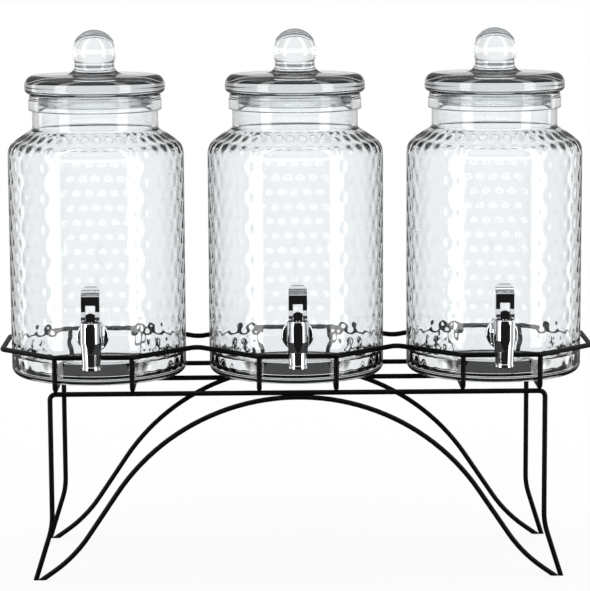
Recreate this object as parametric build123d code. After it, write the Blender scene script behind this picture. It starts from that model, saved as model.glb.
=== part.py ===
from build123d import *
import os
from math import cos, hypot, pi, radians, sin, tan

# Triple beverage dispenser: three glass jars with flip taps, standing in a welded wire rack.
# Millimetres and degrees, +Z up, the taps face -Y. The origin is on the table, under the middle
# of the outer box.

# Jar, heights from its rest ring
JAR_D = 155.0
JAR_GAP = 21.0
JAR_WALL = 4.2
JAR_FLOOR = 9.0
PUSH_UP = 1.5
REST_RING = 9.0
HEEL_R = 9.0
FLOOR_R = 14.0
BODY_H = 203.0
SHOULDER_H = 15.0
SHOULDER_R = 14.0
NECK_WALL = 4.8
NECK_H = 16.2
NECK_R = 3.0
BEAD_PROUD = 3.2
BEAD_H = 9.6
LIP_STEP = 0.7
LIP_H = 4.4
LIP_R = 1.5
BEAD_R = 0.3
MOUTH_D = 101.0

# Lid, heights from the underside of its rim
LID_GAP = 0.3
RIM_OVERHANG = 3.9
RIM_H = 16.2
RIM_LOWER_R = 4.5
RIM_UPPER_R = 9.0
CROWN_RISE = 1.0
PLUG_WALL = 4.5
PLUG_DEPTH = 11.2
PLUG_R = 1.2
LID_WEB = 3.0
KNOB_D = 39.2
KNOB_H = 35.9
KNOB_WAIST = 2.2
KNOB_FLARE_R = 8.0
SEAL_T = 3.7
SEAL_H = 6.0
SEAL_DROP = 3.0
SEAL_GAP = 0.3
SEAL_R = 0.8

# Tap body, heights from the axis of the hole in the jar
RAIL_CLEAR = 2.3
TAP_REACH = 26.5
BARREL_D = 18.7
BARREL_RISE = 13.0
BARREL_DROP = 1.5
BARREL_R = 4.0
BARREL_FLAT = 1.0
SPOUT_TOP_D = 16.6
SPOUT_TAPER_H = 9.5
SPOUT_END_D = 15.6
SPOUT_DROP = 25.2
SPOUT_LIP_D = 16.4
SPOUT_LIP_H = 2.8
SPOUT_LIP_R = 0.7
TAP_NECK_D = 14.0
FLANGE_D = 27.6
FLANGE_T = 3.5
FLANGE_R = 1.2
SHANK_D = 15.8
SHANK_BORE = 8.0
SHANK_TAIL = 3.0
SHANK_FIT = 0.35
OUTER_WASHER_T = 2.0
INNER_WASHER_T = 2.0
WASHER_INSET = 0.8
NUT_T = 7.0
NUT_FLATS = 22.0
NUT_EDGE = 1.0

# Valve inside the barrel
CHAMBER_D = 13.0
SEAT_DROP = 8.0
OUTLET_BORE = 9.0
BONNET_T = 3.0
BONNET_R = 0.8
BONNET_PLUG = 3.0
BONNET_FIT = 0.1
STEM_D = 5.0
STEM_FIT = 0.06
VALVE_SEAL_H = 4.0
VALVE_SEAL_GAP = 0.3
VALVE_SEAL_R = 0.8
STEM_SOCKET = 2.0
COLLAR_CLEAR = 1.3
COLLAR_T = 1.5
SPRING_WIRE = 0.9
SPRING_CLEAR = 1.0
SPRING_TURNS = 4.5
SPRING_GAP = 0.2
HEAD_W = 7.7
HEAD_D = 7.4
HEAD_TOP = 3.6
HEAD_GAP = 0.3

# Flip lever, heights from its pin
PIN_D = 2.6
PIN_FIT = 0.05
PIN_RISE = 4.5
ARM_T = 3.7
ARM_GAP = 0.3
SLOT_TOP = 10.3
LEVER_FACE_TOP = 18.1
LEVER_TOP = 26.8
LEVER_FRONT = 4.6
LEVER_BACK = 5.6
LEVER_R = 2.0
LEVER_CROWN = 4.7
SCOOP_R = 10.0
SCOOP_DEPTH = 1.6
LEVER_TIP_R = 1.0
LOBE_TOP = 5.0
HEEL_GAP = 0.25
FLIP_ANGLE = 80.0
LIFT = 3.2
CAM_STEPS = 8

# Wire rack, heights from the table to the middle of the wire
WIRE_D = 4.4
WELD_SINK = 0.4
RAIL_GAP = 3.0
RAIL_BEND = 7.0
RAIL_RISE = 32.9
POST_INSET = 1.0
CRADLE_BEND = 6.0
ROD_H = 164.4
ROD_TAIL = 4.0
LEG_BEND = 5.0
FLARE_H = 48.0
FLARE = 15.2
FLARE_BEND = 60.0
ARCH_SLOPE = 56.0
FOOT_SLOPE = 35.0
KNEE_H = 20.0
KNEE_BEND = 120.0
JAR_REST_GAP = 0.3

# Jar shapes that other pieces depend on
body_r = JAR_D / 2
inner_r = body_r - JAR_WALL
mouth_r = MOUTH_D / 2
neck_r = mouth_r + NECK_WALL
bead_r = neck_r + BEAD_PROUD
lip_r = bead_r - LIP_STEP
shoulder_top = BODY_H + SHOULDER_H
bead_bottom = shoulder_top + NECK_H
bead_top = bead_bottom + BEAD_H
lip_top = bead_top + LIP_H
jar_pitch = JAR_D + JAR_GAP

# The lid covers the lip, and its plug carries the seal in the mouth
rim_r = lip_r + RIM_OVERHANG
lid_seal_r = mouth_r - SEAL_GAP
plug_r = lid_seal_r - SEAL_T

# Tap positions: the barrel's axis stands in front of the glass, and tap heights count from the hole
barrel_y = body_r + TAP_REACH
barrel_r = BARREL_D / 2
flange_back = TAP_REACH - OUTER_WASHER_T
flange_front = flange_back - FLANGE_T
nut_front = TAP_REACH + JAR_WALL + INNER_WASHER_T
shank_end = nut_front + NUT_T + SHANK_TAIL
bonnet_top = BARREL_RISE + BONNET_T
bonnet_bottom = BARREL_RISE - BONNET_PLUG
seal_bottom = VALVE_SEAL_GAP - SEAT_DROP
seal_top = seal_bottom + VALVE_SEAL_H
collar_top = seal_top + COLLAR_T
pin_z = bonnet_top + PIN_RISE
lever_slot = HEAD_W + 2 * ARM_GAP
lever_w = lever_slot + 2 * ARM_T

# Rack positions: the rail is a regular octagon round each jar
wire_r = WIRE_D / 2
rail_reach = body_r + RAIL_GAP + wire_r
flat_half = rail_reach * tan(radians(22.5))
valley_reach = rail_reach + flat_half - jar_pitch / 2
rail_z = ROD_H + RAIL_RISE
post_x = flat_half - POST_INSET
cradle_z = ROD_H + WIRE_D - WELD_SINK
rod_reach = rail_reach - CRADLE_BEND
outer_post_x = jar_pitch + post_x
leg_x = outer_post_x + LEG_BEND
jar_z = cradle_z + wire_r + JAR_REST_GAP

# The hole in the jar stands high enough for the flange to clear the rail
hole_z = rail_z + wire_r + RAIL_CLEAR + FLANGE_D / 2 - jar_z

# The outer box runs from the barrels to the back of the rail, and its middle is the origin
axis_y = (barrel_y + barrel_r - rail_reach - wire_r) / 2


def turned(*corners):
    """Solid turned about Z from (radius, height, rounding) corners."""
    outline = FilletPolyline(*[c[:2] for c in corners], radius=[c[2] for c in corners], close=True)
    return revolve(Plane.XZ * make_face(outline), Axis.Z)


def disc(diameter, bottom, top):
    """Cylinder about Z between two heights."""
    upwards = (Align.CENTER, Align.CENTER, Align.MIN)
    return Pos(0, 0, bottom) * Cylinder(diameter / 2, top - bottom, align=upwards)


def towards_jar(solid):
    """Lay a solid made about Z along +Y, so that its heights run from the barrel into the jar."""
    return Rot(X=-90) * solid


def in_tap(solid):
    """Move a solid from the tap's own zero, on the barrel's axis, to its place on the jar."""
    return Pos(0, -barrel_y, hole_z) * solid


def jar():
    """Jar with a rest ring, a thick floor, a beaded finish and the hole for the tap."""
    ring_r = body_r - HEEL_R - REST_RING
    slope = SHOULDER_H / (body_r - neck_r)
    inner_drop = JAR_WALL * hypot(1, slope)
    glass = turned(
        (0, PUSH_UP, 0),
        (ring_r - PUSH_UP, PUSH_UP, 0),
        (ring_r, 0, 0),
        (body_r, 0, HEEL_R),
        (body_r, BODY_H, SHOULDER_R),
        (neck_r, shoulder_top, NECK_R),
        (neck_r, bead_bottom, BEAD_R),
        (bead_r, bead_bottom, BEAD_R),
        (bead_r, bead_top, BEAD_R),
        (lip_r, bead_top, BEAD_R),
        (lip_r, lip_top, LIP_R),
        (mouth_r, lip_top, LIP_R),
        (mouth_r, BODY_H + (body_r - mouth_r) * slope - inner_drop, NECK_R),
        (inner_r, BODY_H + JAR_WALL * slope - inner_drop, SHOULDER_R - JAR_WALL),
        (inner_r, JAR_FLOOR, FLOOR_R),
        (0, JAR_FLOOR, 0),
    )
    hole = in_tap(towards_jar(disc(SHANK_D + 2 * SHANK_FIT, flange_back, shank_end)))
    return glass - hole


def lid():
    """Pressed lid: rounded rim, low crown, hollow plug and a ball knob on a short neck."""
    base = lip_top + LID_GAP
    knob_z = base + KNOB_H
    waist_r = KNOB_D / 2 - KNOB_WAIST
    crown_z = base + RIM_H + CROWN_RISE
    plate = turned(
        (0, base + LID_WEB, 0),
        (plug_r - PLUG_WALL, base + LID_WEB, PLUG_R),
        (plug_r - PLUG_WALL, base - PLUG_DEPTH, PLUG_R),
        (plug_r, base - PLUG_DEPTH, PLUG_R),
        (plug_r, base, 0),
        (rim_r, base, RIM_LOWER_R),
        (rim_r, base + RIM_H, RIM_UPPER_R),
        (waist_r, crown_z, KNOB_FLARE_R),
        (waist_r, knob_z, 0),
        (0, knob_z, 0),
    )
    return plate + Pos(0, 0, knob_z) * Sphere(KNOB_D / 2)


def lid_seal():
    """Soft ring round the lid's plug, a little clear of the jar's mouth."""
    top = lip_top + LID_GAP - SEAL_DROP
    return turned(
        (plug_r, top - SEAL_H, 0),
        (lid_seal_r, top - SEAL_H, SEAL_R),
        (lid_seal_r, top, SEAL_R),
        (plug_r, top, 0),
    )


def tap_body():
    """Barrel with a flat front that runs out above the spout, neck, flange and shank, all in one casting."""
    spout_top = -BARREL_DROP - SPOUT_TAPER_H
    lip_z = -SPOUT_DROP + SPOUT_LIP_H
    barrel = turned(
        (0, -SPOUT_DROP, 0),
        (SPOUT_LIP_D / 2, -SPOUT_DROP, SPOUT_LIP_R),
        (SPOUT_LIP_D / 2, lip_z, SPOUT_LIP_R),
        (SPOUT_END_D / 2, lip_z + SPOUT_LIP_R, SPOUT_LIP_R),
        (SPOUT_TOP_D / 2, spout_top, BARREL_R),
        (barrel_r, -BARREL_DROP, BARREL_R),
        (barrel_r, BARREL_RISE, 0),
        (0, BARREL_RISE, 0),
    )
    front = Pos(0, BARREL_FLAT - barrel_r, BARREL_RISE) * Box(
        BARREL_D, BARREL_D, BARREL_RISE - spout_top, align=(Align.CENTER, Align.MAX, Align.MAX)
    )
    shank = turned(
        (0, 0, 0),
        (TAP_NECK_D / 2, 0, 0),
        (TAP_NECK_D / 2, flange_front, 0),
        (FLANGE_D / 2, flange_front, FLANGE_R),
        (FLANGE_D / 2, flange_back, 0),
        (SHANK_D / 2, flange_back, 0),
        (SHANK_D / 2, shank_end, NUT_EDGE),
        (0, shank_end, 0),
    )
    bore = towards_jar(disc(SHANK_BORE, 0, shank_end))
    chamber = disc(CHAMBER_D, -SEAT_DROP, BARREL_RISE)
    outlet = disc(OUTLET_BORE, -SPOUT_DROP, -SEAT_DROP)
    return in_tap(barrel - front + towards_jar(shank) - bore - chamber - outlet)


def outer_washer():
    """Washer under the flange, shaped to the outside of the glass."""
    ring = disc(FLANGE_D - 2 * WASHER_INSET, flange_back, nut_front) - disc(SHANK_D, flange_back, nut_front)
    return in_tap(towards_jar(ring)) - disc(JAR_D, 0, BODY_H)


def inner_washer():
    """Washer under the nut, shaped to the inside of the glass."""
    ring = disc(NUT_FLATS, flange_back, nut_front) - disc(SHANK_D, flange_back, nut_front)
    return in_tap(towards_jar(ring)) & disc(2 * inner_r, 0, BODY_H)


def back_nut():
    """Hexagon nut on the shank, inside the jar, with its corners bevelled."""
    hexagon = RegularPolygon(NUT_FLATS / 2, 6, major_radius=False)
    blank = Pos(0, 0, nut_front) * extrude(hexagon, NUT_T)
    corner_r = NUT_FLATS / 2 / cos(pi / 6)
    bevel = turned(
        (0, nut_front, 0),
        (corner_r, nut_front, 0),
        (corner_r, nut_front + NUT_T - NUT_EDGE, 0),
        (NUT_FLATS / 2 - NUT_EDGE, nut_front + NUT_T, 0),
        (0, nut_front + NUT_T, 0),
    )
    return in_tap(towards_jar((blank & bevel) - disc(SHANK_D, nut_front, nut_front + NUT_T)))


def bonnet():
    """Cap on the barrel, with a plug in the chamber and a bore that guides the stem."""
    bore_r = STEM_D / 2 + STEM_FIT
    fit_r = CHAMBER_D / 2 - BONNET_FIT
    return in_tap(
        turned(
            (bore_r, bonnet_bottom, 0),
            (fit_r, bonnet_bottom, 0),
            (fit_r, BARREL_RISE, 0),
            (barrel_r, BARREL_RISE, 0),
            (barrel_r, bonnet_top, BONNET_R),
            (bore_r, bonnet_top, 0),
        )
    )


def valve_stem():
    """Stem with a collar on the seal, and a round-topped head for the lever's pin."""
    head_z = bonnet_top + HEAD_GAP
    socket_z = seal_top - STEM_SOCKET
    rod = disc(STEM_D, socket_z, head_z) + disc(CHAMBER_D - 2 * COLLAR_CLEAR, seal_top, collar_top)
    top_z = pin_z + HEAD_TOP
    side_z = top_z - HEAD_W / 4
    half = HEAD_W / 2
    front = Polyline((half, side_z), (half, head_z), (-half, head_z), (-half, side_z))
    crown = ThreePointArc((-half, side_z), (0, top_z), (half, side_z))
    head = extrude(Plane.XZ * make_face(front + crown), HEAD_D / 2, both=True)
    pin_hole = Pos(0, 0, pin_z) * Rot(Y=90) * Cylinder(PIN_D / 2 + PIN_FIT, HEAD_W)
    return in_tap(rod + head - pin_hole)


def valve_seal():
    """Soft plug on the end of the stem, just above its seat."""
    valve_r = CHAMBER_D / 2 - VALVE_SEAL_GAP
    socket = disc(STEM_D, seal_top - STEM_SOCKET, seal_top)
    plug = turned(
        (0, seal_bottom, 0),
        (valve_r, seal_bottom, VALVE_SEAL_R),
        (valve_r, seal_top, 0),
        (0, seal_top, 0),
    )
    return in_tap(plug - socket)


def return_spring():
    """Compression spring between the stem's collar and the bonnet, one unbroken helix."""
    coil_r = (CHAMBER_D - SPRING_WIRE) / 2 - SPRING_CLEAR
    start = collar_top + SPRING_GAP + SPRING_WIRE / 2
    rise = bonnet_bottom - SPRING_GAP - SPRING_WIRE / 2 - start
    pitch = rise / SPRING_TURNS
    path = Pos(0, 0, start) * Helix(pitch, rise, coil_r)
    section = Plane(origin=path @ 0, z_dir=path % 0) * Circle(SPRING_WIRE / 2)
    print(f"return spring: least gap between turns {pitch - SPRING_WIRE:.2f} mm")
    return in_tap(sweep(section, path=path))


def cam_point(angle, heel):
    """Point of the lever's heel that meets the bonnet when the lever is turned by an angle in radians.

    The heel's reach grows evenly with the angle, so the stem's lift follows the lever evenly.
    """
    rate = LIFT / radians(FLIP_ANGLE)
    reach = heel + rate * angle
    return (-reach * sin(angle) - rate * cos(angle), -reach * cos(angle) + rate * sin(angle))


def lever():
    """Flip handle: slanted head with a thumb scoop, two arms astride the stem's head, and cam heels."""
    heel = PIN_RISE - HEEL_GAP
    turns = [radians(FLIP_ANGLE) * step / CAM_STEPS for step in range(CAM_STEPS + 1)]
    cam = Spline(*[cam_point(turn, heel) for turn in turns])
    lobe = cam_point(turns[-1], heel)
    handle = FilletPolyline(
        lobe,
        (-LEVER_FRONT, LOBE_TOP),
        (-LEVER_FRONT, LEVER_FACE_TOP),
        (LEVER_BACK, LEVER_TOP),
        (heel, 0),
        radius=[LEVER_R, LEVER_R, LEVER_TIP_R],
    )
    sole = Line(cam_point(0, heel), (0, -heel))
    bend = heel * cos(pi / 4)
    round_back = ThreePointArc((0, -heel), (bend, -bend), (heel, 0))
    side = make_face(Wire([*cam.edges(), *handle.edges(), round_back.edge(), sole.edge()]))
    block = extrude(Plane.YZ * side, lever_w / 2, both=True)
    half = lever_w / 2
    skirt = -2 * heel
    side_top = LEVER_TOP - LEVER_CROWN
    front = Polyline((half, side_top), (half, skirt), (-half, skirt), (-half, side_top))
    crown = ThreePointArc((-half, side_top), (0, LEVER_TOP), (half, side_top))
    reach = 2 * (LEVER_BACK + barrel_r)
    block = block & extrude(Plane.XZ * make_face(front + crown), reach, both=True)
    slot = Pos(0, 0, SLOT_TOP) * Box(
        lever_slot, reach, SLOT_TOP - skirt, align=(Align.CENTER, Align.CENTER, Align.MAX)
    )
    pin_hole = Rot(Y=90) * Cylinder(PIN_D / 2, lever_w)
    slant_y = LEVER_FRONT + LEVER_BACK
    slant_z = LEVER_TOP - LEVER_FACE_TOP
    lift = (SCOOP_R - SCOOP_DEPTH) / hypot(slant_y, slant_z)
    scoop_y = (LEVER_BACK - LEVER_FRONT) / 2 - slant_z * lift
    scoop_z = (LEVER_TOP + LEVER_FACE_TOP) / 2 + slant_y * lift
    scoop = Pos(0, scoop_y, scoop_z) * Rot(Y=90) * Cylinder(SCOOP_R, lever_w)
    return in_tap(Pos(0, 0, pin_z) * (block - slot - pin_hole - scoop))


def lever_pin():
    """Cross pin, tight in the lever's arms and free in the stem's head."""
    return in_tap(Pos(0, 0, pin_z) * Rot(Y=90) * Cylinder(PIN_D / 2, lever_w))


def wire(path):
    """Round wire swept along a path of runs and bends."""
    return sweep(Plane(origin=path @ 0, z_dir=path % 0) * Circle(wire_r), path=path)


def cut_at_table(solid):
    """Cut a wire off flat where it stands on the table."""
    return split(solid, bisect_by=Plane.XY, keep=Keep.TOP)


def top_rail():
    """Closed loop round the three jars: three octagons run together."""
    front = []
    for place in (-1, 0, 1):
        front.append((place * jar_pitch - flat_half, -rail_reach))
        front.append((place * jar_pitch + flat_half, -rail_reach))
        if place < 1:
            front.append(((place + 0.5) * jar_pitch, -valley_reach))
    end_x = jar_pitch + rail_reach
    front = [(-end_x, -flat_half), *front, (end_x, -flat_half)]
    back = [(x, -y) for x, y in reversed(front)]
    loop = FilletPolyline(*front, *back, radius=RAIL_BEND, close=True)
    return wire(Pos(0, axis_y, rail_z) * loop)


def leg_points():
    """Corners of a leg frame from the left foot to the right one, in its own plane."""
    below = FLARE / FLARE_H * WIRE_D
    foot = (leg_x + FLARE + below, -WIRE_D)
    right = [(leg_x, ROD_H), (leg_x, FLARE_H), foot]
    return [(-x, z) for x, z in reversed(right)] + right


def leg_frame(side):
    """Rod with two legs that flare at the feet; side is -1 at the front and 1 at the back."""
    points = [(x, axis_y + side * rod_reach, z) for x, z in leg_points()]
    bends = [FLARE_BEND, LEG_BEND, LEG_BEND, FLARE_BEND]
    return cut_at_table(wire(FilletPolyline(*points, radius=bends)))


def arch(side, frame):
    """Arch under the rod, whose ends turn out to meet the feet."""
    slope = tan(radians(ARCH_SLOPE))
    foot_slope = tan(radians(FOOT_SLOPE))
    leg_half = wire_r * hypot(1, FLARE / FLARE_H)
    arch_half = wire_r / sin(radians(FOOT_SLOPE))
    foot_x = leg_x + FLARE - leg_half - arch_half + 2 * WELD_SINK
    knee_x = foot_x - KNEE_H / foot_slope
    top_z = ROD_H - WIRE_D + WELD_SINK
    peak_z = KNEE_H + knee_x * slope
    crown_r = (peak_z - top_z) / (1 / cos(radians(ARCH_SLOPE)) - 1)
    right = [(knee_x, KNEE_H), (foot_x + WIRE_D / foot_slope, -WIRE_D)]
    left = [(-x, z) for x, z in reversed(right)]
    points = [(x, axis_y + side * rod_reach, z) for x, z in [*left, (0, peak_z), *right]]
    path = FilletPolyline(*points, radius=[KNEE_BEND, crown_r, KNEE_BEND])
    return cut_at_table(wire(path)) - frame


def centre_rod():
    """Straight rod under the middle of the jars."""
    length = 2 * (outer_post_x + ROD_TAIL)
    return Pos(0, axis_y, ROD_H) * Rot(Y=90) * Cylinder(wire_r, length)


def cradle_wire(x, welded_to):
    """U-shaped wire from the front of the rail, under a jar and up to the back of the rail."""
    top_z = rail_z - wire_r + WELD_SINK
    front_y = axis_y - rail_reach
    back_y = axis_y + rail_reach
    path = FilletPolyline(
        (x, front_y, top_z),
        (x, front_y, cradle_z),
        (x, back_y, cradle_z),
        (x, back_y, top_z),
        radius=CRADLE_BEND,
    )
    solid = wire(path)
    for neighbour in welded_to:
        solid = solid - neighbour
    return solid


def save(name, solid):
    """Write one piece as a STEP file named for it."""
    export_step(solid, f"parts/{name}.step")


def save_rack():
    """Make and write the wires of the rack."""
    rail = top_rail()
    front_frame = leg_frame(-1)
    back_frame = leg_frame(1)
    rod = centre_rod()
    save("top_rail", rail)
    save("front_leg_frame", front_frame)
    save("back_leg_frame", back_frame)
    save("front_arch", arch(-1, front_frame))
    save("back_arch", arch(1, back_frame))
    save("centre_rod", rod)
    number = 0
    for place in (-1, 0, 1):
        for side in (-1, 1):
            number += 1
            x = place * jar_pitch + side * post_x
            save(f"cradle_wire_{number}", cradle_wire(x, [rail, front_frame, back_frame, rod]))


def save_dispensers():
    """Make each piece of a dispenser once, and write a copy of it for each of the three places."""
    pieces = {
        "jar": jar(),
        "lid": lid(),
        "lid_seal": lid_seal(),
        "tap_body": tap_body(),
        "outer_washer": outer_washer(),
        "inner_washer": inner_washer(),
        "back_nut": back_nut(),
        "bonnet": bonnet(),
        "valve_stem": valve_stem(),
        "valve_seal": valve_seal(),
        "return_spring": return_spring(),
        "lever": lever(),
        "lever_pin": lever_pin(),
    }
    for place, side in (("left", -1), ("middle", 0), ("right", 1)):
        stand = Pos(side * jar_pitch, axis_y, jar_z)
        for name, solid in pieces.items():
            save(f"{place}_{name}", stand * solid)


os.makedirs("parts", exist_ok=True)
save_rack()
save_dispensers()
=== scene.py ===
"""Looks of the triple beverage dispenser: dimpled glass jars, chrome flip taps and a coated wire rack."""
from math import atan2, ceil, cos, degrees, hypot, pi, radians, sin, tan

import bmesh
import bpy
import numpy as np
from mathutils import Matrix, Vector


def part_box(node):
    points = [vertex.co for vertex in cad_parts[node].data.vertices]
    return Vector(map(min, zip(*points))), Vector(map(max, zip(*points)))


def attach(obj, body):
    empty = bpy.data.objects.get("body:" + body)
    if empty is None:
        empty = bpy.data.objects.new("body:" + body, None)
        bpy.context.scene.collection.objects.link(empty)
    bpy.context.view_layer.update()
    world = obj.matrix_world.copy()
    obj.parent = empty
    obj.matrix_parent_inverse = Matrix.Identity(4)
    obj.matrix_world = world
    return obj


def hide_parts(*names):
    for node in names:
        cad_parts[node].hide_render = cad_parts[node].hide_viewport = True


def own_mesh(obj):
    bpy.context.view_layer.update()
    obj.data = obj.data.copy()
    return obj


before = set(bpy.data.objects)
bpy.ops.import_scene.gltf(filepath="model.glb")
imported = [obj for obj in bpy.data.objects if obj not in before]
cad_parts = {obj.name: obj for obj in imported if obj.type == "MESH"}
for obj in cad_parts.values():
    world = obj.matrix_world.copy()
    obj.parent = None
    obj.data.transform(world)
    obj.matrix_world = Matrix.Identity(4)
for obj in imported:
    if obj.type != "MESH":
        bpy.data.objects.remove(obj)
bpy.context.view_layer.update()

MM = 0.001
PLACES = ("left", "middle", "right")

# Jar, in millimetres, with heights from its rest ring
JAR_WALL = 4.2
JAR_FLOOR = 6.0
PUSH_UP = 1.5
REST_RING = 9.0
HEEL_R = 7.0
FLOOR_R = 5.0
FLOOR_SLOPE_H = 13.5
FLOOR_SLOPE_W = 13.0
BODY_H = 203.0
SHOULDER_H = 15.0
SHOULDER_R = 14.0
NECK_WALL = 4.8
NECK_H = 16.2
NECK_R = 3.0
BEAD_PROUD = 3.2
BEAD_H = 9.6
BEAD_R = 0.8
LIP_STEP = 0.7
LIP_H = 4.4
LIP_R = 1.5
MOUTH_D = 101.0
HOLE_D = 16.5

# Pressed dimples, upright ovals in staggered rows, with a smooth panel round the tap
DIMPLES_ROUND = 40
DIMPLE_PITCH = 13.4
DIMPLE_HALF_W = 6.0
DIMPLE_HALF_H = 7.5
DIMPLE_DEPTH = 0.45
SHOULDER_DEPTH = 1.1
BODY_ROWS = 14
LOWEST_ROW = 14.4
ROWS = 16
PANEL_HALF = 25.0

# Fineness of the jar's mesh: faces across a dimple, lengths in millimetres, angles in degrees
AROUND_DIMPLE = 9
RING_STEP = 1.4
PLAIN_STEP = 3.0
ARC_STEP = 12.0
HOLE_SEGMENTS = 72
SHARP_ANGLE = 35.0
SAME_PLACE = 1e-6

# Camera of the photograph, in millimetres, degrees and pixels
PHOTO_W = 590
CAMERA_AT = (-30.68, -2200.05, 561.96)
CAMERA_PITCH = 8.32
CAMERA_YAW = 0.77
CAMERA_ROLL = -0.32
FOCAL_PX = 2511.54
SENSOR_W = 36.0
FARTHEST_M = 50.0

# Studio, as (direction, brightness) stops with directions in degrees: AROUND goes from the front to the
# back on either side, and RISE from straight down to straight up. ACROSS goes from 0, not sideways at all,
# to 1, straight to a side.
HALF_TURN = 180
WALLS_AROUND = [(0, 0.01), (43, 0.01), (47, 5.0), (63, 5.0), (67, 0.5), (109, 0.5), (112, 3.0), (120, 3.0),
                (124, 0.4), (150, 0.25), (180, 0.25)]
TOP_RISE = [(0, 0.0), (120, 0.0), (135, 0.9), (155, 0.9), (168, 0.1), (180, 0.1)]
SCREEN_AROUND = [(0, 0.0), (100, 0.0), (115, 1.0), (180, 1.0)]
SCREEN_RISE = [(0, 0.0), (84, 0.0), (87, 0.85), (94, 0.85), (97, 0.45), (102, 0.0), (112, 0.0), (120, 0.6),
               (140, 0.6), (150, 0.0), (180, 0.0)]
LAMP_AROUND = [(0, 1.0), (50, 1.0), (56, 0.0), (180, 0.0)]
LAMP_RISE = [(0, 0.0), (88, 0.0), (89, 5.5), (96, 5.5), (97, 0.0), (180, 0.0)]
CEILING_RISE = [(0, 1.0), (107, 1.0), (111, 0.12), (128, 0.12), (140, 0.5), (180, 0.5)]
SIDES_ACROSS = [(0, 1.0), (0.2, 1.0), (0.5, 0.85), (0.71, 0.85), (0.88, 0.4), (0.95, 0.4), (1.0, 1.0)]
WHITE = 1.0
REFLECTED_ONCE = 1.0
REFLECTED_TWICE = 2.0
KEPT_LIGHT = 0.06

# Floor, in metres; the dark strip is painted shade, shown only through the glass, and lies under the jars'
# fronts, with its places measured from the front edge
FLOOR_RADIUS = 0.75
FLOOR_SEGMENTS = 96
PAINTED_SHADE_STRIP_STOPS = [(0, 1.0), (0.55, 1.0), (0.61, 0.08), (0.79, 0.08), (0.85, 1.0), (1.5, 1.0)]
FLOOR_IN_REFLECTIONS = 0.05
FLOOR_GLOW_SHARE = 0.85


def linear(code):
    """Linear RGBA of an sRGB hex colour."""
    parts = [int(code[i : i + 2], 16) / 255 for i in (1, 3, 5)]
    return [c / 12.92 if c <= 0.04045 else ((c + 0.055) / 1.055) ** 2.4 for c in parts] + [1.0]


def add(tree, kind, inputs=None, **settings):
    """Add a node with its settings; each input is a value, or an output to link."""
    node = tree.nodes.new(kind)
    for name, value in settings.items():
        setattr(node, name, value)
    for socket, value in (inputs or {}).items():
        if isinstance(value, bpy.types.NodeSocket):
            tree.links.new(value, node.inputs[socket])
        else:
            node.inputs[socket].default_value = value
    return node


def new_material(name):
    """Material with an empty node tree and its output."""
    material = bpy.data.materials.new(name)
    material.use_nodes = True
    material.node_tree.nodes.clear()
    return material, material.node_tree, material.node_tree.nodes.new("ShaderNodeOutputMaterial")


def object_mm(tree, size):
    """Noise-ready coordinates in which one unit is a real size in millimetres."""
    where = add(tree, "ShaderNodeTexCoord")
    scale = 1 / (size * MM)
    return add(tree, "ShaderNodeMapping", {"Vector": where.outputs["Object"], "Scale": (scale, scale, scale)})


def pressed_glass():
    """Soda-lime glass, pressed in a mould and fire-polished: clear, with a slow waviness in its skin."""
    material, tree, output = new_material("soda_lime_glass_pressed")
    ripple_mm = 9.0
    ripple_depth_mm = 0.3
    at = object_mm(tree, ripple_mm)
    ripple = add(tree, "ShaderNodeTexNoise", {"Vector": at.outputs[0], "Scale": 1.0, "Detail": 1.0})
    bump = add(tree, "ShaderNodeBump", {
        "Height": ripple.outputs[0], "Strength": 0.05, "Distance": ripple_depth_mm * MM})
    glass = add(tree, "ShaderNodeBsdfPrincipled", {
        "Base Color": linear("#fbfdfe"),
        "Roughness": 0.0,
        "IOR": 1.52,
        "Transmission Weight": 1.0,
        "Normal": bump.outputs[0],
    })
    depth = add(tree, "ShaderNodeVolumeAbsorption", {"Color": linear("#bfc3c9"), "Density": 4.5})
    tree.links.new(glass.outputs[0], output.inputs["Surface"])
    tree.links.new(depth.outputs[0], output.inputs["Volume"])
    return material


def chrome_plate():
    """Bright chrome over polished zinc: mirror-like, with faint clouding left by the polishing wheel."""
    material, tree, output = new_material("chrome_plate_polished")
    cloud_mm = 2.5
    at = object_mm(tree, cloud_mm)
    cloud = add(tree, "ShaderNodeTexNoise", {"Vector": at.outputs[0], "Scale": 1.0, "Detail": 3.0})
    gloss = add(tree, "ShaderNodeMapRange", {"Value": cloud.outputs[0], "To Min": 0.03, "To Max": 0.1})
    metal = add(tree, "ShaderNodeBsdfPrincipled", {
        "Base Color": linear("#e9ebee"),
        "Metallic": 1.0,
        "Roughness": gloss.outputs[0],
    })
    tree.links.new(metal.outputs[0], output.inputs["Surface"])
    return material


def coated_wire():
    """Steel wire with a black powder coat: satin, with a fine orange peel."""
    material, tree, output = new_material("steel_wire_black_powder_coat")
    peel_mm = 0.9
    peel_depth_mm = 0.08
    at = object_mm(tree, peel_mm)
    peel = add(tree, "ShaderNodeTexNoise", {"Vector": at.outputs[0], "Scale": 1.0, "Detail": 2.0})
    bump = add(tree, "ShaderNodeBump", {
        "Height": peel.outputs[0], "Strength": 0.25, "Distance": peel_depth_mm * MM})
    gloss = add(tree, "ShaderNodeMapRange", {"Value": peel.outputs[0], "To Min": 0.3, "To Max": 0.42})
    shade = add(tree, "ShaderNodeMix", {
        "Factor": peel.outputs[0],
        "A": linear("#050606"),
        "B": linear("#0a0b0b"),
    }, data_type="RGBA")
    coat = add(tree, "ShaderNodeBsdfPrincipled", {
        "Base Color": shade.outputs["Result"],
        "Roughness": gloss.outputs[0],
        "Specular IOR Level": 0.1,
        "Normal": bump.outputs[0],
    })
    tree.links.new(coat.outputs[0], output.inputs["Surface"])
    return material


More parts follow.
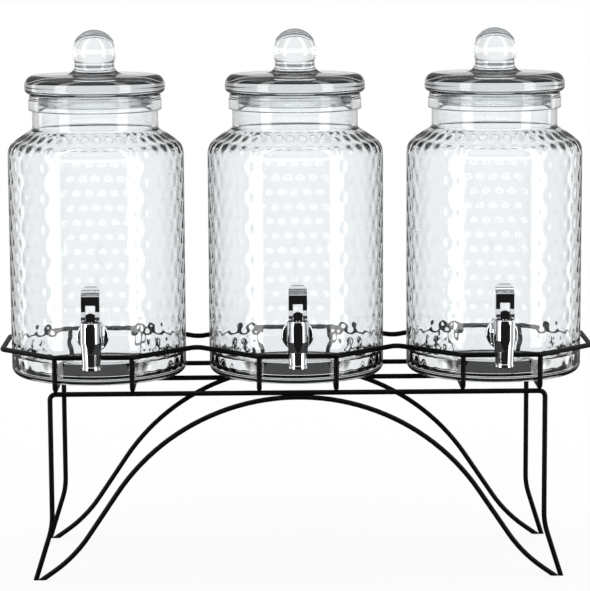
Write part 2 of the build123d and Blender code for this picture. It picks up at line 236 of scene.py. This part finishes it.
def clear_silicone():
    """Silicone rubber moulded clear: soft in its shine, which is a little cloudy."""
    material, tree, output = new_material("silicone_rubber_moulded_clear")
    cloud_mm = 1.5
    at = object_mm(tree, cloud_mm)
    cloud = add(tree, "ShaderNodeTexNoise", {"Vector": at.outputs[0], "Scale": 1.0, "Detail": 2.0})
    gloss = add(tree, "ShaderNodeMapRange", {"Value": cloud.outputs[0], "To Min": 0.05, "To Max": 0.2})
    rubber = add(tree, "ShaderNodeBsdfPrincipled", {
        "Base Color": linear("#fcfdfe"),
        "Roughness": gloss.outputs[0],
        "IOR": 1.41,
        "Transmission Weight": 1.0,
    })
    tree.links.new(rubber.outputs[0], output.inputs["Surface"])
    return material


def grained(name, code, grain_mm, grain_depth_mm, rough, metal=0.0):
    """Opaque material with a fine grain of a real size, which breaks up its shine."""
    rough_spread = 0.06
    material, tree, output = new_material(name)
    at = object_mm(tree, grain_mm)
    grain = add(tree, "ShaderNodeTexNoise", {"Vector": at.outputs[0], "Scale": 1.0, "Detail": 2.0})
    bump = add(tree, "ShaderNodeBump", {
        "Height": grain.outputs[0], "Strength": 0.3, "Distance": grain_depth_mm * MM})
    gloss = add(tree, "ShaderNodeMapRange", {
        "Value": grain.outputs[0], "To Min": rough - rough_spread, "To Max": rough + rough_spread})
    surface = add(tree, "ShaderNodeBsdfPrincipled", {
        "Base Color": linear(code),
        "Metallic": metal,
        "Roughness": gloss.outputs[0],
        "Normal": bump.outputs[0],
    })
    tree.links.new(surface.outputs[0], output.inputs["Surface"])
    return material


def washer_rubber():
    """Moulded rubber, light grey: matte, with the mould's fine grain."""
    return grained("rubber_moulded_light_grey", "#c9cbcc", grain_mm=0.3, grain_depth_mm=0.04, rough=0.62)


def nut_nylon():
    """Nylon from an injection mould, light grey: a soft satin skin."""
    return grained("nylon_injection_moulded", "#d3d4d4", grain_mm=0.4, grain_depth_mm=0.03, rough=0.42)


def spring_steel():
    """Drawn spring steel: grey metal with a fine die-drawn roughness."""
    return grained("spring_steel_drawn", "#b4b6b9", grain_mm=0.15, grain_depth_mm=0.01, rough=0.26, metal=1.0)


def rounded(corners):
    """Outline through (radius, height, rounding) corners, each rounded by a tangent arc."""
    points = []
    for i, (r, z, rounding) in enumerate(corners):
        here = np.array((r, z), float)
        if rounding == 0:
            points.append(here)
            continue
        before = np.array(corners[i - 1][:2]) - here
        after = np.array(corners[i + 1][:2]) - here
        before = before / np.linalg.norm(before)
        after = after / np.linalg.norm(after)
        turn = pi - np.arccos(np.clip(before @ after, -1, 1))
        middle = before + after
        centre = here + middle / np.linalg.norm(middle) * rounding / cos(turn / 2)
        start = here + before * rounding * tan(turn / 2) - centre
        end = here + after * rounding * tan(turn / 2) - centre
        first = atan2(start[1], start[0])
        sweep = (atan2(end[1], end[0]) - first + pi) % (2 * pi) - pi
        steps = max(2, ceil(abs(degrees(sweep)) / ARC_STEP))
        for step in range(steps + 1):
            angle = first + sweep * step / steps
            points.append(centre + rounding * np.array((cos(angle), sin(angle))))
    return np.array(points)


def evenly(outline, step):
    """The same outline with its long runs divided, so that no run is longer than the step."""
    points = [outline[0]]
    for a, b in zip(outline[:-1], outline[1:]):
        parts = max(1, ceil(np.linalg.norm(b - a) / step))
        points += [a + (b - a) * (i + 1) / parts for i in range(parts)]
    return np.array(points)


def dimple_depth(angles, heights):
    """Depth of the dimples over a grid of angles from the tap, in degrees, and heights along the glass."""
    column = 360 / DIMPLES_ROUND
    half_w = degrees(DIMPLE_HALF_W / body_r)
    angle, height = np.meshgrid(angles, heights)
    depth = np.zeros(angle.shape)
    for row in range(ROWS):
        across = (angle - row % 2 * column / 2 + column / 2) % column - column / 2
        centre = (angle - across + 180) % 360 - 180
        reach = np.hypot(across / half_w, (height - LOWEST_ROW - row * DIMPLE_PITCH) / DIMPLE_HALF_H)
        deepest = DIMPLE_DEPTH if row < BODY_ROWS else SHOULDER_DEPTH
        bowl = deepest * np.cos(np.minimum(reach, 1) * pi / 2) ** 2
        on_panel = (np.abs(centre) < PANEL_HALF) & (row < ROWS - 1)
        depth = np.maximum(depth, np.where(on_panel, 0, bowl))
    return depth


def jar_rings():
    """Radius and height of every ring of the jar's mesh, as arrays of ring by place round the jar."""
    neck_r = mouth_r + NECK_WALL
    bead_r = neck_r + BEAD_PROUD
    lip_r = bead_r - LIP_STEP
    ring_r = body_r - HEEL_R - REST_RING
    shoulder_top = BODY_H + SHOULDER_H
    bead_bottom = shoulder_top + NECK_H
    bead_top = bead_bottom + BEAD_H
    lip_top = bead_top + LIP_H
    slope = SHOULDER_H / (body_r - neck_r)
    inner_r = body_r - JAR_WALL
    inner_drop = JAR_WALL * hypot(1, slope)
    outline = rounded([
        (0, PUSH_UP, 0),
        (ring_r - PUSH_UP, PUSH_UP, 0),
        (ring_r, 0, 0),
        (body_r, 0, HEEL_R),
        (body_r, BODY_H, SHOULDER_R),
        (neck_r, shoulder_top, NECK_R),
        (neck_r, bead_bottom, BEAD_R),
        (bead_r, bead_bottom, BEAD_R),
        (bead_r, bead_top, BEAD_R),
        (lip_r, bead_top, LIP_STEP / 2),
        (lip_r, lip_top, LIP_R),
        (mouth_r, lip_top, LIP_R),
        (mouth_r, BODY_H + (body_r - mouth_r) * slope - inner_drop, NECK_R),
        (inner_r, BODY_H + JAR_WALL * slope - inner_drop, SHOULDER_R - JAR_WALL),
        (inner_r, JAR_FLOOR + FLOOR_SLOPE_H, FLOOR_R),
        (inner_r - FLOOR_SLOPE_W, JAR_FLOOR, FLOOR_R),
        (0, JAR_FLOOR, 0),
    ])
    heel = np.argmax(outline[:, 0] > body_r - SAME_PLACE)
    neck = np.argmax((outline[:, 1] > shoulder_top) & (outline[:, 0] <= neck_r + SAME_PLACE))
    body = evenly(outline[heel : neck + 1], RING_STEP)
    runs = np.linalg.norm(np.diff(body, axis=0), axis=1)
    along = HEEL_R + np.concatenate([[0], np.cumsum(runs)])
    tangent = np.gradient(body, axis=0)
    tangent = tangent / np.linalg.norm(tangent, axis=1)[:, None]
    segments = DIMPLES_ROUND * AROUND_DIMPLE
    angles = np.arange(segments) * 360 / segments
    depth = dimple_depth(angles, along)
    ends = (evenly(outline[: heel + 1], PLAIN_STEP)[:-1], evenly(outline[neck:], PLAIN_STEP)[1:])
    plain = [np.repeat(part[:, None, :], segments, axis=1) for part in ends]
    inwards = np.stack([-tangent[:, 1], tangent[:, 0]], axis=1)
    dimpled = body[:, None, :] + depth[:, :, None] * inwards[:, None, :]
    return np.concatenate([plain[0], dimpled, plain[1]]), np.radians(angles)


def jar_mesh():
    """Jar turned about its axis from rings that start and end on the axis; the tap faces -Y."""
    rings, angles = jar_rings()
    count = len(angles)
    radius, height = rings[1:-1, :, 0], rings[1:-1, :, 1]
    x, y = radius * np.sin(angles), -radius * np.cos(angles)
    points = np.stack([x, y, height], axis=-1).reshape(-1, 3)
    points = np.concatenate([points, [[0, 0, rings[0, 0, 1]], [0, 0, rings[-1, 0, 1]]]]) * MM
    underside, inner_floor = len(points) - 2, len(points) - 1
    faces = []
    for ring in range(len(rings) - 3):
        for i in range(count):
            j = (i + 1) % count
            low, high = ring * count, (ring + 1) * count
            faces.append((low + i, low + j, high + j, high + i))
    last = (len(rings) - 3) * count
    for i in range(count):
        j = (i + 1) % count
        faces.append((underside, j, i))
        faces.append((inner_floor, last + i, last + j))
    mesh = bpy.data.meshes.new("dimpled_jar")
    mesh.from_pydata(points.tolist(), [], faces)
    return mesh


def drilled(mesh, at):
    """The mesh with the tap's hole drilled through its front wall at a height."""
    drill_r = HOLE_D / 2 * MM
    drill_length = 8 * JAR_WALL * MM
    blank = bpy.data.objects.new("jar_blank", mesh)
    drill_mesh = bpy.data.meshes.new("jar_drill")
    shape = bmesh.new()
    tip = Matrix.Translation((0, -body_r * MM, at * MM)) @ Matrix.Rotation(pi / 2, 4, "X")
    bmesh.ops.create_cone(shape, cap_ends=True, segments=HOLE_SEGMENTS, radius1=drill_r, radius2=drill_r,
                          depth=drill_length, matrix=tip)
    shape.to_mesh(drill_mesh)
    shape.free()
    drill = bpy.data.objects.new("jar_drill", drill_mesh)
    for piece in (blank, drill):
        bpy.context.scene.collection.objects.link(piece)
    cut = blank.modifiers.new("hole", "BOOLEAN")
    cut.object = drill
    cut.solver = "EXACT"
    bpy.context.view_layer.update()
    result = bpy.data.meshes.new_from_object(blank.evaluated_get(bpy.context.evaluated_depsgraph_get()))
    for piece in (blank, drill):
        bpy.data.objects.remove(piece)
    result.shade_smooth()
    result.set_sharp_from_angle(angle=radians(SHARP_ANGLE))
    return result


def place_jars(glass):
    """One dimpled jar in place of each plain one."""
    low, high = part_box("left_jar")
    tap_low, tap_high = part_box("left_outer_washer")
    mesh = drilled(jar_mesh(), (tap_low.z + tap_high.z) / 2 / MM - low.z / MM)
    mesh.materials.append(glass)
    for place in PLACES:
        low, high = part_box(f"{place}_jar")
        jar = bpy.data.objects.new(f"{place}_dimpled_jar", mesh)
        bpy.context.scene.collection.objects.link(jar)
        jar.location = ((low.x + high.x) / 2, (low.y + high.y) / 2, low.z)
        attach(jar, f"{place}_dispenser")
        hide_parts(f"{place}_jar")


def place_springs(steel):
    """One spring in place of each packed one."""
    for place in PLACES:
        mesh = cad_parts[f"{place}_return_spring"].data.copy()
        mesh.materials.clear()
        mesh.materials.append(steel)
        spring = bpy.data.objects.new(f"{place}_coil_spring", mesh)
        bpy.context.scene.collection.objects.link(spring)
        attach(spring, f"{place}_dispenser")
        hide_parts(f"{place}_return_spring")
        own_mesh(spring)


def finish_nodes(finishes):
    """Give every CAD node that still shows its finish, by the end of its name."""
    for name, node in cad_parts.items():
        for ending, material in finishes.items():
            if name.endswith(ending):
                node.data.materials.clear()
                node.data.materials.append(material)
                break


def photo_camera():
    """Camera at the photograph's place and angle."""
    pitch, yaw, roll = radians(CAMERA_PITCH), radians(CAMERA_YAW), radians(CAMERA_ROLL)
    forward = Vector((sin(yaw) * cos(pitch), cos(yaw) * cos(pitch), -sin(pitch)))
    level = forward.cross(Vector((0, 0, 1))).normalized()
    upright = level.cross(forward)
    right = level * cos(roll) + upright * sin(roll)
    up = upright * cos(roll) - level * sin(roll)
    lens = bpy.data.cameras.new("photo_camera")
    lens.sensor_fit = "HORIZONTAL"
    lens.sensor_width = SENSOR_W
    lens.lens = FOCAL_PX / PHOTO_W * SENSOR_W
    lens.clip_end = FARTHEST_M
    camera = bpy.data.objects.new("photo_camera", lens)
    bpy.context.scene.collection.objects.link(camera)
    turn = Matrix((right, up, -forward)).transposed().to_4x4()
    camera.matrix_world = Matrix.Translation(Vector(CAMERA_AT) * MM) @ turn
    bpy.context.scene.camera = camera


def ramp(tree, value, stops, full):
    """Brightness by a value, from (place, brightness) stops, where full is the place of the value 1."""
    node = add(tree, "ShaderNodeValToRGB", {"Fac": value})
    elements = node.color_ramp.elements
    while len(elements) < len(stops):
        elements.new(0.5)
    for element, (place, brightness) in zip(elements, stops):
        element.position = place / full
        element.color = (brightness, brightness, brightness, 1)
    return node.outputs[0]


def calc(tree, operation, *values):
    """Result of a math operation on one or two values."""
    return add(tree, "ShaderNodeMath", dict(enumerate(values)), operation=operation).outputs[0]


def choose(tree, switch, off, on):
    """The off value where the switch is 0, and the on value where it is 1."""
    return add(tree, "ShaderNodeMix", {"Factor": switch, "A": off, "B": on}, data_type="FLOAT").outputs[0]


def dimmed(tree, ray, value):
    """The value, less where the light was reflected twice or more on its way."""
    kept = add(tree, "ShaderNodeMapRange", {
        "Value": ray.outputs["Glossy Depth"],
        "From Min": REFLECTED_ONCE,
        "From Max": REFLECTED_TWICE,
        "To Min": WHITE,
        "To Max": KEPT_LIGHT,
    })
    return calc(tree, "MULTIPLY", value, kept.outputs[0])


def studio():
    """White for the eye and for plain light.

    Reflections show a room with light and dark walls, a lit top and a screen at the back. Glass shows a white
    room with a dark band of ceiling, darker sides and a lamp in front, less where light was reflected in it.
    """
    world = bpy.data.worlds.new("studio")
    bpy.context.scene.world = world
    world.use_nodes = True
    tree = world.node_tree
    tree.nodes.clear()
    where = add(tree, "ShaderNodeTexCoord")
    axes = add(tree, "ShaderNodeSeparateXYZ", {"Vector": where.outputs["Generated"]})
    forward = calc(tree, "MULTIPLY", axes.outputs["Y"], -1.0)
    off_front = calc(tree, "ABSOLUTE", calc(tree, "ARCTAN2", axes.outputs["X"], forward))
    around = calc(tree, "DIVIDE", off_front, pi)
    height = calc(tree, "ARCSINE", axes.outputs["Z"])
    rise = add(tree, "ShaderNodeMapRange", {
        "Value": height, "From Min": -pi / 2, "From Max": pi / 2, "To Min": 0.0, "To Max": 1.0}).outputs[0]
    across = calc(tree, "ABSOLUTE", axes.outputs["X"])

    walls = ramp(tree, around, WALLS_AROUND, HALF_TURN)
    top = ramp(tree, rise, TOP_RISE, HALF_TURN)
    screen_wide = ramp(tree, around, SCREEN_AROUND, HALF_TURN)
    screen_tall = ramp(tree, rise, SCREEN_RISE, HALF_TURN)
    screen = calc(tree, "MULTIPLY", screen_wide, screen_tall)
    room = calc(tree, "MAXIMUM", calc(tree, "MAXIMUM", walls, top), screen)

    lamp_wide = ramp(tree, around, LAMP_AROUND, HALF_TURN)
    lamp_tall = ramp(tree, rise, LAMP_RISE, HALF_TURN)
    lamp = calc(tree, "MULTIPLY", lamp_wide, lamp_tall)
    ceiling = ramp(tree, rise, CEILING_RISE, HALF_TURN)
    sides = ramp(tree, across, SIDES_ACROSS, 1)
    behind = calc(tree, "MAXIMUM", calc(tree, "MULTIPLY", sides, ceiling), lamp)

    ray = add(tree, "ShaderNodeLightPath")
    behind = dimmed(tree, ray, behind)
    shiny = choose(tree, ray.outputs["Is Glossy Ray"], WHITE, room)
    seen_through = choose(tree, ray.outputs["Is Transmission Ray"], shiny, behind)
    strength = choose(tree, ray.outputs["Is Camera Ray"], seen_through, WHITE)
    light = add(tree, "ShaderNodeBackground", {"Color": (1, 1, 1, 1), "Strength": strength})
    add(tree, "ShaderNodeOutputWorld", {"Surface": light.outputs[0]})


def floor():
    """White floor that keeps the object's shadow; reflections show it dark, and glass shows a dark strip of
    painted shade on it under the jars' fronts.
    """
    mesh = bpy.data.meshes.new("floor")
    shape = bmesh.new()
    bmesh.ops.create_circle(shape, cap_ends=True, segments=FLOOR_SEGMENTS, radius=FLOOR_RADIUS)
    shape.to_mesh(mesh)
    shape.free()
    ground = bpy.data.objects.new("floor", mesh)
    bpy.context.scene.collection.objects.link(ground)
    material, tree, output = new_material("white_paper_matte")
    where = add(tree, "ShaderNodeTexCoord")
    place = add(tree, "ShaderNodeSeparateXYZ", {"Vector": where.outputs["Object"]})
    from_front = add(tree, "ShaderNodeMapRange", {
        "Value": place.outputs["Y"],
        "From Min": -FLOOR_RADIUS,
        "From Max": FLOOR_RADIUS,
        "To Min": 0.0,
        "To Max": 1.0,
    })
    # Painted shade: a dark strip of floor under the jars' fronts, shown only to rays through the glass
    painted_shade_strip = ramp(tree, from_front.outputs[0], PAINTED_SHADE_STRIP_STOPS, 2 * FLOOR_RADIUS)
    ray = add(tree, "ShaderNodeLightPath")
    through = dimmed(tree, ray, painted_shade_strip)
    shiny = choose(tree, ray.outputs["Is Glossy Ray"], WHITE, FLOOR_IN_REFLECTIONS)
    shade = choose(tree, ray.outputs["Is Transmission Ray"], shiny, through)
    paper = add(tree, "ShaderNodeBsdfDiffuse", {"Color": shade})
    glow = add(tree, "ShaderNodeEmission", {"Color": shade, "Strength": 1.0})
    mixed = add(tree, "ShaderNodeMixShader", {
        "Fac": FLOOR_GLOW_SHARE, 1: paper.outputs[0], 2: glow.outputs[0]})
    tree.links.new(mixed.outputs[0], output.inputs["Surface"])
    mesh.materials.append(material)


jar_low, jar_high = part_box("left_jar")
body_r = (jar_high.x - jar_low.x) / 2 / MM
mouth_r = MOUTH_D / 2

glass = pressed_glass()
chrome = chrome_plate()
wire = coated_wire()
steel = spring_steel()
rubber = washer_rubber()
place_jars(glass)
place_springs(steel)
finish_nodes({
    "_lid": glass,
    "tap_body": chrome,
    "bonnet": chrome,
    "valve_stem": chrome,
    "lever": chrome,
    "lever_pin": steel,
    "lid_seal": clear_silicone(),
    "washer": rubber,
    "valve_seal": rubber,
    "back_nut": nut_nylon(),
    "rail": wire,
    "leg_frame": wire,
    "arch": wire,
    "rod": wire,
    **{f"cradle_wire_{i}": wire for i in range(1, 7)},
})
photo_camera()
studio()
floor()
bpy.context.scene.view_settings.view_transform = "Standard"
